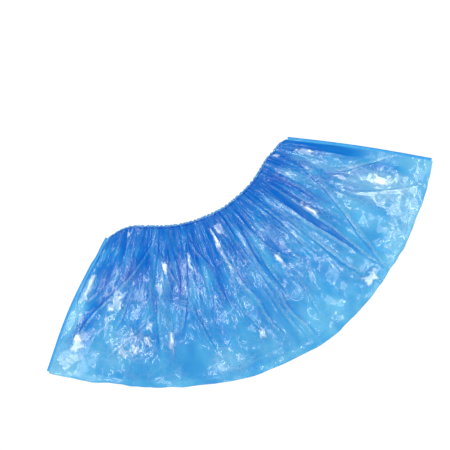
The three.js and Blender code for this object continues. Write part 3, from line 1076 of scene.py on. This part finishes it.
@dataclass(frozen=True)
class FilmFinish:
    """Glossy, translucent and crumpled blue film."""

    name: str = "blue_film"
    tint: tuple = (0.69, 0.89, 0.97)
    # The pale colour stands for milky film, painted sheen and painted glints.
    pale: tuple = (0.61, 0.73, 0.93)
    body: float = 0.7
    body_depth: float = 0.9
    density: float = 0.87
    slant_density: float = 0.4
    relief_density: float = 0.34
    cover: float = 0.1
    # Shares of the shining body: more where the film is milky with painted sheen, and on the crease
    # lines.
    milky_cover: float = 0.34
    line_cover: float = 0.04
    # How far the colour goes to the pale one: by milkiness with painted sheen, and by painted glints on
    # the crease lines.
    milk: float = 0.25
    line_milk: float = 0.5
    vein: float = 0.55
    roughness: float = 0.3
    gloss: float = 0.08
    warp: float = 4 * MM
    warp_scale: float = 60.0
    slant_blend: float = 0.35
    ior: float = 1.5
    coat_ior: float = 1.7
    creasings: tuple = (
        Creasing(22.0 * MM, 0.6, 0.26, 0.9, -0.5, 0.025),
        Creasing(9.0 * MM, 0.42, 0.28, 0.6, 0.4, 0.05),
        Creasing(4.6 * MM, 0.5, 0.2, 0.45, -0.9, 0.07),
    )

    def bent_place(self, bench: Bench) -> Socket:
        """Gives places on the flat film, warped so that no line is straight.

        Args:
            bench: The material's bench.

        Returns:
            The places.
        """
        place = bench.node("UVMap").outputs[0]
        waves = {"Vector": place, "Scale": self.warp_scale, "Detail": 1.0}
        warp = bench.node("TexNoise", waves).outputs["Color"]
        moved = bench.vector("MULTIPLY", {0: warp, 1: (self.warp, self.warp, 0.0)})
        return bench.vector("ADD", {0: place, 1: moved})

    def relief(self, bench: Bench, crumple: Socket) -> tuple[Socket, Socket, Socket]:
        """Adds the finest creases.

        Args:
            bench: The material's bench.
            crumple: How crumpled the film is.

        Returns:
            The normal, the crease lines, and the small cells' shades.
        """
        place = self.bent_place(bench)
        normal, shades, lines = bench.node("NewGeometry").outputs["Normal"], 0.0, 0.0
        for size in self.creasings:
            turned = bench.node("VectorRotate", {"Vector": place, "Angle": size.turn}).outputs[0]
            scale = (1 / size.cell, size.stretch / size.cell, 1.0)
            scaled = {"Vector": bench.vector("MULTIPLY", {0: turned, 1: scale}), "Scale": 1.0}
            cells = bench.node("TexVoronoi", scaled).outputs["Color"]
            edges = bench.node("TexVoronoi", scaled, feature="DISTANCE_TO_EDGE").outputs["Distance"]
            centred = bench.vector("SUBTRACT", {0: cells, 1: (0.5, 0.5, 0.5)})
            amount = bench.math("MULTIPLY", crumple, size.tilt)
            tilt = bench.vector("SCALE", {0: centred, "Scale": amount})
            normal = bench.vector("ADD", {0: normal, 1: tilt})
            shade = bench.node("SeparateXYZ", {0: centred}).outputs["Z"]
            shades = bench.math("MULTIPLY_ADD", shade, size.shade, shades)
            near = bench.math("SUBTRACT", 1.0, bench.math("DIVIDE", edges, size.line))
            lines = bench.math("MAXIMUM", near, lines)
        lines, shades = (bench.math("MULTIPLY", part, crumple) for part in (lines, shades))
        return bench.vector("NORMALIZE", {0: normal}), lines, shades

    def material(self) -> bpy.types.Material:
        """Builds the material: a clear tinted part under a glossy, partly milky one, whose colour also
        holds painted sheen and painted glints.

        Returns:
            The material.
        """
        bench = Bench(self.name)
        haze = bench.value("film_haze")
        normal, lines, shades = self.relief(bench, bench.value("film_crumple"))
        slant = bench.node("LayerWeight", {"Blend": self.slant_blend}).outputs["Facing"]
        path = bench.math("MULTIPLY_ADD", slant, self.slant_density, self.density)
        path = bench.math("MULTIPLY", bench.value("film_depth"), path)
        veins = bench.math("MULTIPLY_ADD", lines, self.vein, shades)
        veins = bench.math("MULTIPLY_ADD", veins, self.relief_density, 1.0)
        path = bench.math("MULTIPLY", path, veins)
        deep = bench.power_tint(self.tint, bench.math("MULTIPLY", path, self.body_depth))
        dim = bench.vector("MULTIPLY", {0: deep, 1: (self.body,) * 3})
        # Paler by milkiness with painted sheen, and by painted glints along the crease lines.
        milk = bench.math("MULTIPLY_ADD", haze, self.milk, bench.math("MULTIPLY", lines, self.line_milk))
        mixed = {0: milk, "A": dim, "B": (*self.pale, 1.0)}
        body = bench.node("BsdfPrincipled", {
            "Base Color": bench.node("Mix", mixed, data_type="RGBA").outputs["Result"],
            "Roughness": self.roughness, "IOR": self.ior, "Specular IOR Level": 1.0,
            "Coat Weight": 1.0, "Coat Roughness": self.gloss, "Coat IOR": self.coat_ior,
            "Normal": normal, "Coat Normal": normal,
        })
        cover = bench.math("MULTIPLY_ADD", haze, self.milky_cover, self.cover)
        cover = bench.math("MULTIPLY_ADD", lines, self.line_cover, cover)
        return bench.over_clear(self.tint, path, body.outputs[0], cover)


@dataclass(frozen=True)
class WeldFinish:
    """Fused double film at an end, duller than the film and deeper towards its edge."""

    name: str = "fused_film"
    tint: tuple = (0.7, 0.89, 0.975)
    cover: float = 0.14
    uneven: float = 0.8
    even: float = 0.6
    roughness: float = 0.4
    grain: tuple = (300.0, 3.0)
    bump: float = 0.3
    bump_height: float = 0.4 * MM

    def material(self) -> bpy.types.Material:
        """Builds the material.

        Returns:
            The material.
        """
        bench = Bench(self.name)
        grain = bench.grain(*self.grain)
        path = bench.math("MULTIPLY_ADD", grain, self.uneven, self.even)
        path = bench.math("MULTIPLY", bench.value("film_depth"), path)
        bump = bench.bump(grain, self.bump, self.bump_height)
        tint = bench.power_tint(self.tint, path)
        body = bench.node("BsdfPrincipled", {
            "Base Color": tint, "Roughness": self.roughness, "Normal": bump,
        })
        return bench.over_clear(self.tint, path, body.outputs[0], self.cover)


@dataclass(frozen=True)
class ElasticFinish:
    """Matt pale thread."""

    name: str = "pale_thread"
    pale: tuple = (0.68, 0.82, 0.98, 1.0)
    deep: tuple = (0.2, 0.45, 0.85, 1.0)
    spread: tuple = (0.38, 0.6)
    roughness: float = 0.7
    grain: tuple = (700.0, 2.0)
    bump: float = 0.6
    bump_height: float = 0.5 * MM

    def material(self) -> bpy.types.Material:
        """Builds the material.

        Returns:
            The material.
        """
        bench = Bench(self.name)
        grain = bench.grain(*self.grain)
        ramp = bench.node("ValToRGB", {0: grain})
        low, high = ramp.color_ramp.elements
        low.position, high.position = self.spread
        low.color, high.color = self.deep, self.pale
        bump = bench.bump(grain, self.bump, self.bump_height)
        body = bench.node("BsdfPrincipled", {
            "Base Color": ramp.outputs[0], "Roughness": self.roughness, "Normal": bump,
        })
        return bench.finish(body.outputs[0])


def grid_mesh(name: str, points: Array, extras: dict[str, Array], uv: Array | None = None,
              wrap: bool = False) -> bpy.types.Object:
    """Makes a piece from a grid of points.

    Args:
        name: The piece's name.
        points: Rows by columns of points.
        extras: Values for each point, by attribute name.
        uv: Flat places of the points, or None.
        wrap: Whether the last row joins the first.

    Returns:
        The piece.
    """
    rows, columns = points.shape[:2]
    mesh = bpy.data.meshes.new(name)
    count = rows if wrap else rows - 1
    i, j = np.meshgrid(np.arange(count), np.arange(columns - 1), indexing="ij")
    after = (i + 1) % rows
    corner = [i * columns + j, i * columns + j + 1, after * columns + j + 1, after * columns + j]
    faces = np.stack(corner, axis=-1).reshape(-1, 4)
    mesh.from_pydata(points.reshape(-1, 3).tolist(), [], faces.tolist())
    for key, values in extras.items():
        layer = mesh.attributes.new(key, "FLOAT", "POINT")
        layer.data.foreach_set("value", values.reshape(-1).astype(np.float32))
    if uv is not None:
        layer = mesh.uv_layers.new(name="UVMap")
        corners = uv.reshape(-1, 2)[faces.reshape(-1)]
        layer.data.foreach_set("uv", corners.reshape(-1).astype(np.float32))
    mesh.polygons.foreach_set("use_smooth", [True] * len(mesh.polygons))
    mesh.update()
    piece = bpy.data.objects.new(name, mesh)
    bpy.context.collection.objects.link(piece)
    log.info("%s: %d points, %d faces", name, rows * columns, len(faces))
    return piece


@dataclass
class Film:
    """The folded sheet of film, from one hem round the sole's fold to the other hem."""

    shape: FilmShape
    finish: FilmFinish
    columns: int = 450
    upper_rows: int = 150
    lower_rows: int = 36
    crease_rows: int = 4
    roll_rows: int = 7
    crimp_depth: float = 0.45 * MM

    # Angles round the rolls and round the sole's crease, in degrees from the outside of the fan.
    TURNS, CREASE_TURNS = {Panel.UPPER: (325, 105), Panel.LOWER: (255, 40)}, (66, -66)
    CRIMPS = {Panel.UPPER: 52, Panel.LOWER: 40}
    # Places across the film for the finest creases, in metres from the lower hem's edge. The rolls and
    # the sole's crease get a little more room than the flat film has.
    ROLL_FLAT, CREASE_FLAT = {Panel.UPPER: (0.308, 0.3), Panel.LOWER: (0.004, 0.0)}, (0.154, 0.148)
    UPPER_FOOT, LOWER_FOOT = 0.155, 0.146
    # The rolls' depth of film, milkiness with painted sheen and crumples; the lower panel's shares of
    # milkiness with painted sheen and of crumples.
    ROLL_DEPTH, ROLL_HAZE, ROLL_CRUMPLE = 6.0, 0.5, 0.4
    LOWER_HAZE, LOWER_CRUMPLE = 0.5, 0.6
    # Lays the upper panel's rows closer towards the hem, where the gathers are.
    CROWDING = 1.12

    def crimp(self, along: Array, panel: Panel) -> Array:
        """The fine crimps of the rolled hem.

        Args:
            along: Shares along the film.
            panel: Which hem.

        Returns:
            Lengths.
        """
        wander = 2.5 * Noise(77).smooth(along * 30, np.full_like(along, 2.0))
        wave = np.sin(2 * np.pi * self.CRIMPS[panel] * along + wander)
        return self.crimp_depth * wave * smoothstep(np.minimum(along, 1 - along), 0, 0.02)

    def rolled(self, line: Array, panel: Panel) -> tuple[Array, ...]:
        """Rows of a rolled hem.

        Args:
            line: Shares along the film.
            panel: Which hem.

        Returns:
            Points, depths, milkiness with painted sheen, crumple and flat places across, as of each
            zone.
        """
        s, fan = self.shape.sizes, self.shape.fan
        along = np.tile(line, (self.roll_rows, 1))
        angle = np.radians(np.linspace(*self.TURNS[panel], self.roll_rows))[:, None]
        size = s.roll_radius + self.crimp(along, panel) * smoothstep(-np.cos(angle), -0.3, 0.6)
        radius = fan.hem_radius(along) + size * np.cos(angle)
        height = self.shape.thread_height(panel, along) + size * np.sin(angle)
        one = np.ones_like(along)
        points = fan.place(along, radius, height, fan.bow(along, one))
        flat = np.linspace(*self.ROLL_FLAT[panel], self.roll_rows)
        return points, self.ROLL_DEPTH * one, self.ROLL_HAZE * one, self.ROLL_CRUMPLE * one, flat

    def upper(self, line: Array) -> tuple[Array, ...]:
        """Rows of the upper panel, from the hem to the sole.

        Args:
            line: Shares along the film.

        Returns:
            Points, depths, milkiness with painted sheen, crumple and flat places across, as of each
            zone.
        """
        shape, fan = self.shape, self.shape.fan
        along, across = np.meshgrid(line, 1 - np.linspace(0, 1, self.upper_rows) ** self.CROWDING)
        height, shift, layers, crests = shape.upper(along, across)
        points = fan.place(along, fan.radius(along, across), height, shift + fan.bow(along, across))
        # Painted highlights beside the folds' crests and along the gathers: less depth of film there,
        # and more milk.
        depth = shape.density(along, across, layers) * (1 - shape.CREST_CLEARING * crests)
        haze = shape.haze(along, across) + shape.CREST_HAZE * crests
        flat = self.UPPER_FOOT + across[:, 0] * shape.sizes.panel_height
        return points, depth, haze, shape.crumpled(along, across), flat

    def crease(self, line: Array) -> tuple[Array, ...]:
        """Rows of the film's turn along the sole.

        Args:
            line: Shares along the film.

        Returns:
            Points, depths, milkiness with painted sheen, crumple and flat places across, as of each
            zone.
        """
        s, shape, fan = self.shape.sizes, self.shape, self.shape.fan
        along = np.tile(line, (self.crease_rows, 1))
        foot = np.zeros_like(along)
        turn = np.radians(np.linspace(*self.CREASE_TURNS, self.crease_rows))[:, None]
        height = s.wall / 2 + s.sole_crease + s.sole_crease * np.sin(turn)
        points = fan.place(along, fan.radius(along, foot) + s.sole_crease * np.cos(turn), height + foot)
        values = shape.density(along, foot, foot), shape.haze(along, foot), shape.crumpled(along, foot)
        return points, *values, np.linspace(*self.CREASE_FLAT, self.crease_rows)

    def lower(self, line: Array) -> tuple[Array, ...]:
        """Rows of the lower panel, from the sole to the hem.

        Args:
            line: Shares along the film.

        Returns:
            Points, depths, milkiness with painted sheen, crumple and flat places across, as of each
            zone.
        """
        shape, fan = self.shape, self.shape.fan
        along, across = np.meshgrid(line, np.linspace(0, 1, self.lower_rows))
        height, shift = shape.lower(along, across), fan.bow(along, across)
        points = fan.place(along, fan.radius(along, across), height, shift)
        haze = shape.haze(along, across) * self.LOWER_HAZE
        crumple = shape.crumpled(along, across) * self.LOWER_CRUMPLE
        flat = self.LOWER_FOOT - across[:, 0] * shape.sizes.panel_height
        return points, shape.density(along, across, np.zeros_like(along)), haze, crumple, flat

    def build(self) -> bpy.types.Object:
        """Builds the piece, zone by zone from the upper hem to the lower one.

        Returns:
            The piece.
        """
        line = np.linspace(0, 1, self.columns)
        zones = (
            self.rolled(line, Panel.UPPER), self.upper(line), self.crease(line), self.lower(line),
            self.rolled(line, Panel.LOWER),
        )
        points, depth, haze, crumple, flat_y = (np.concatenate(rows) for rows in zip(*zones))
        flat = np.stack(np.meshgrid(line * self.shape.sizes.sole_fold, flat_y), axis=-1)
        values = {"film_depth": depth, "film_haze": haze, "film_crumple": crumple}
        film = grid_mesh("film", points, values, flat)
        film.data.materials.append(self.finish.material())
        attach(film, "root")
        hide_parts("film_sheet")
        return film


@dataclass
class EndWeld:
    """The fused band that closes an end of the film."""

    shape: FilmShape
    finish: WeldFinish
    end: End
    width: float = 2.4 * MM
    rows: int = 90
    steps: tuple = (0.0, 0.34, 0.7, 1.0)
    depths: tuple = (6.5, 7.0, 8.0, 10.5, 8.0, 7.0, 6.5)

    def build(self) -> bpy.types.Object:
        """Builds the band from the two panels' edges outward.

        Returns:
            The piece.
        """
        shape, fan, name = self.shape, self.shape.fan, self.end.name.lower()
        inward = 1 if self.end is End.HEEL else -1
        across = np.linspace(0.0, 1.0, self.rows)[:, None] * np.ones_like(self.steps)
        edge = np.full_like(across, self.end.value)
        radius = fan.radius(edge, across)
        top, shift, _, _ = shape.upper(edge, across)
        bottom, steps = shape.lower(edge, across), np.array(self.steps)
        out = -inward * self.width * steps + shift + fan.bow(edge, across)
        flat = (top + bottom) / 2
        high = fan.place(edge, radius, lerp(top, flat, steps), out)
        low = fan.place(edge, radius, lerp(bottom, flat, steps), out)
        points = np.concatenate([high, low[:, ::-1][:, 1:]], axis=1)
        weld = grid_mesh(name + "_seam", points, {"film_depth": np.tile(self.depths, (self.rows, 1))})
        weld.data.materials.append(self.finish.material())
        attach(weld, "root")
        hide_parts(name + "_weld")
        return weld


@dataclass
class HemElastic:
    """The crimped elastic of a hem."""

    shape: FilmShape
    finish: ElasticFinish
    panel: Panel
    radius: float = 0.42 * MM
    swell: float = 0.3
    crimp: float = 0.5 * MM
    crimps: int = 52
    ends: tuple = (0.004, 0.996)
    columns: int = 900
    sides: int = 6

    def build(self) -> bpy.types.Object:
        """Builds the thread as a wavy tube.

        Returns:
            The piece.
        """
        fan = self.shape.fan
        along = np.tile(np.linspace(*self.ends, self.columns), (self.sides, 1))
        angle = np.linspace(0, 2 * np.pi, self.sides, endpoint=False)[:, None]
        wave = np.sin(2 * np.pi * self.crimps * along)
        size = self.radius * (1 + self.swell * np.cos(4 * np.pi * self.crimps * along))
        radius = fan.hem_radius(along) + self.crimp * wave + size * np.cos(angle)
        height = self.shape.thread_height(self.panel, along) + size * np.sin(angle)
        points = fan.place(along, radius, height, fan.bow(along, np.ones_like(along)))
        thread = grid_mesh(self.panel.value + "_thread", points, {}, wrap=True)
        thread.data.materials.append(self.finish.material())
        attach(thread, "root")
        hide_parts(self.panel.value + "_elastic")
        return thread


@dataclass
class Studio:
    """White ground, lamps and the camera straight above."""

    view_width: float = 0.369
    view_turn: float = -28.9
    view_height: float = 8 * MM
    lens: float = 85.0
    sensor: float = 36.0
    ground_size: float = 60
    ground_drop: float = 0.4 * MM
    ground_glow: float = 1.04
    sky: tuple = (0.95, 0.97, 1.0, 1.0)
    sky_strength: float = 0.08

    def ground(self) -> None:
        """Adds the bright ground."""
        bpy.ops.mesh.primitive_plane_add(size=self.ground_size, location=(0, 0, -self.ground_drop))
        plane = bpy.context.object
        plane.name = "ground"
        bench = Bench("white_ground")
        glow = bench.node("Emission", {"Color": (1, 1, 1, 1), "Strength": self.ground_glow})
        plane.data.materials.append(bench.finish(glow.outputs[0]))

    def lamp(self, number: int, box: Softbox) -> None:
        """Adds a lamp that points at the film.

        Args:
            number: The lamp's number.
            box: The lamp's place, size and power.
        """
        data = bpy.data.lights.new(f"softbox_{number}", "AREA")
        data.energy, data.size = box.power, box.size
        lamp = bpy.data.objects.new(data.name, data)
        away = Vector(box.place())
        lamp.location = away
        lamp.rotation_mode = "QUATERNION"
        lamp.rotation_quaternion = away.to_track_quat("Z", "Y")
        bpy.context.collection.objects.link(lamp)

    def camera(self) -> None:
        """Adds the camera, straight above."""
        data = bpy.data.cameras.new("camera")
        data.lens, data.sensor_width = self.lens, self.sensor
        camera = bpy.data.objects.new("camera", data)
        distance = self.view_width * self.lens / self.sensor
        camera.location = (*VIEW_MIDDLE, distance + self.view_height)
        camera.rotation_euler = (0, 0, math.radians(self.view_turn))
        bpy.context.collection.objects.link(camera)
        bpy.context.scene.camera = camera

    def build(self) -> None:
        """Builds the studio."""
        self.ground()
        for number, box in enumerate(LAMPS):
            self.lamp(number, box)
        self.camera()
        world = bpy.data.worlds.new("world")
        bpy.context.scene.world = world
        world.use_nodes = True
        sky = world.node_tree.nodes["Background"]
        sky.inputs["Color"].default_value = self.sky
        sky.inputs["Strength"].default_value = self.sky_strength
        bpy.context.scene.view_settings.view_transform = "Standard"
        log.info("studio: %d lamps", len(LAMPS))


def main() -> None:
    """Loads the frame and builds the shoe cover and the studio."""
    logging.basicConfig(level=logging.INFO, format="%(message)s")
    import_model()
    shape = FilmShape(Fan(FanSizes()))
    film = Film(shape, FilmFinish()).build()
    welds = [EndWeld(shape, WeldFinish(), end).build() for end in End]
    threads = [HemElastic(shape, ElasticFinish(), panel).build() for panel in Panel]
    Studio().build()


if __name__ == "__main__":
    main()
